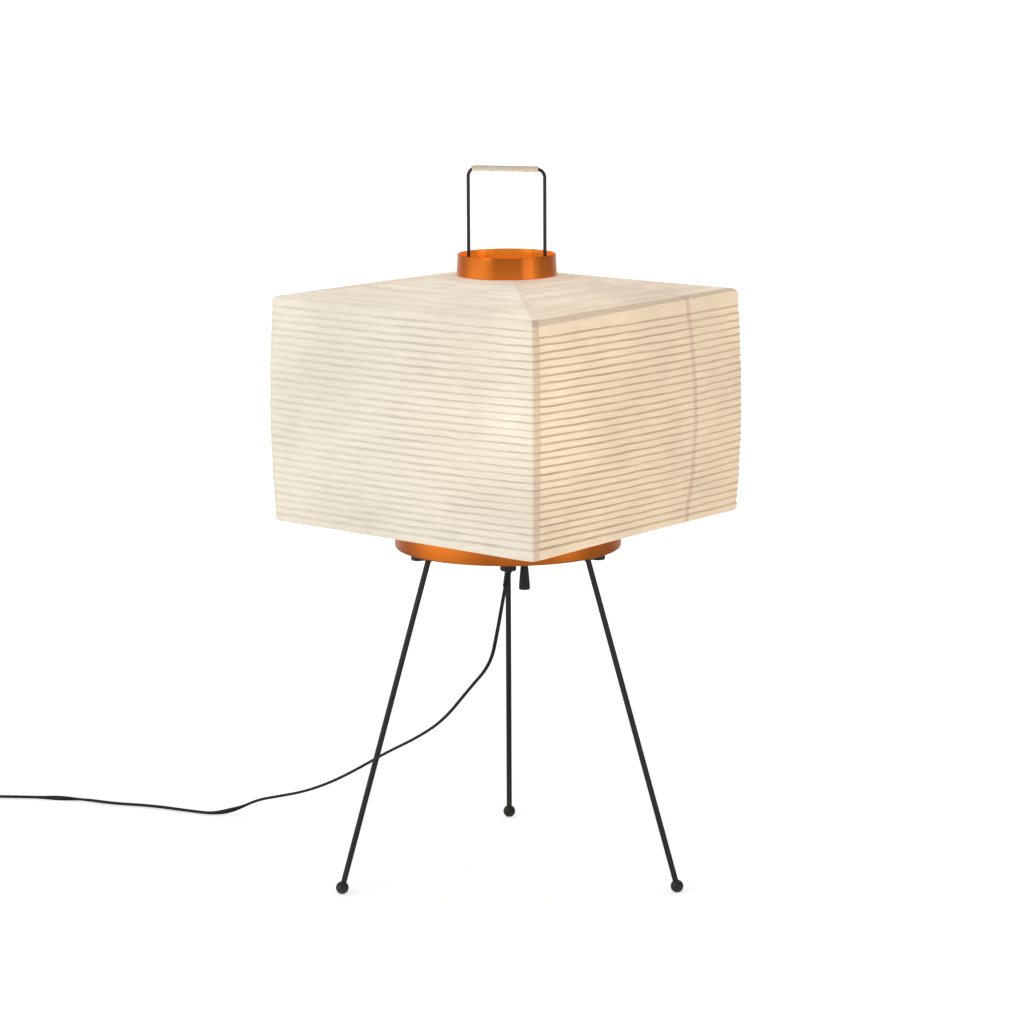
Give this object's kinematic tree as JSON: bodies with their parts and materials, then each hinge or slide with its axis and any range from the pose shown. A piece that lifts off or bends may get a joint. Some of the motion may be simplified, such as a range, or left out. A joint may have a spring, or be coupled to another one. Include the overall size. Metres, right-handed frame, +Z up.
{
  "type": "floor lamp",
  "caption": "Low floor lamp with a square ribbed paper shade that lifts off over a wire handle, on a shallow orange metal pan with splayed rod legs and ball feet.",
  "frame": {"origin": "on the floor under the middle of the lamp", "axes": "+Z up, +Y towards the back leg, +X to the lamp's right as seen from its front corner"},
  "size_m": [1.0256, 0.6027, 0.8321],
  "materials": {
    "orange_metal": "satin anodised",
    "black_paint": "satin paint",
    "zinc": "zinc plated",
    "cane": "natural cane wrapping",
    "bamboo": "split and peeled",
    "black_plastic": "moulded, satin",
    "brass": "plain",
    "opal_glass": "opal, lit",
    "black_rubber": "moulded, satin",
    "black_thread": "plaited",
    "shade_paper": "handmade, translucent"
  },
  "bodies": {
    "base": {"base_pan": "orange_metal", "leg_back": "black_paint", "leg_left": "black_paint", "leg_right": "black_paint", "leg_plate_back": "black_paint", "leg_plate_left": "black_paint", "leg_plate_right": "black_paint", "ball_feet": "black_paint", "frame_strap": "zinc", "frame_wire": "black_paint", "handle_grip": "cane", "frame_stops": "black_paint", "riser_tube": "zinc", "riser_nuts": "zinc", "holder_cap": "black_plastic", "holder_skirt": "black_plastic", "holder_contact": "brass", "switch_body": "black_plastic", "switch_nut": "zinc", "cord_grip": "black_plastic", "flex_sleeve": "black_rubber", "flex": "black_rubber", "flex_coil": "black_rubber", "flex_tail": "black_rubber", "plug_body": "black_plastic", "plug_blades": "brass"},
    "shade": {"paper_front_right": "shade_paper", "paper_back_right": "shade_paper", "paper_back_left": "shade_paper", "paper_front_left": "shade_paper", "shade_ribs": "bamboo", "lower_hoop": "zinc", "top_collar": "orange_metal", "collar_forks": "black_paint"},
    "bulb": {"bulb_glass": "opal_glass", "bulb_cap": "zinc"},
    "plunger": {"pull_plunger": "brass"},
    "bell": {"pull_cord": "black_thread", "pull_bell": "black_plastic"}
  },
  "joints": [
    {"name": "shade_lift", "type": "slide", "parent": "base", "child": "shade", "axis": [0, 0, 1], "range_m": [0, 0.43]},
    {"name": "bulb_out", "type": "slide", "parent": "base", "child": "bulb", "axis": [0, 0, 1], "range_m": [0, 0.04]},
    {"name": "switch_pull", "type": "slide", "parent": "base", "child": "plunger", "axis": [0, 0, -1], "range_m": [0, 0.008], "stiffness_N_per_m": 500, "springref_m": -0.002},
    {"name": "bell_swing", "type": "hinge", "parent": "plunger", "child": "bell", "pos_m": [0.01903, 0.00999, 0.379], "axis": [0.8852, 0.4651, 0], "range_deg": [-18, 18]}
  ]
}
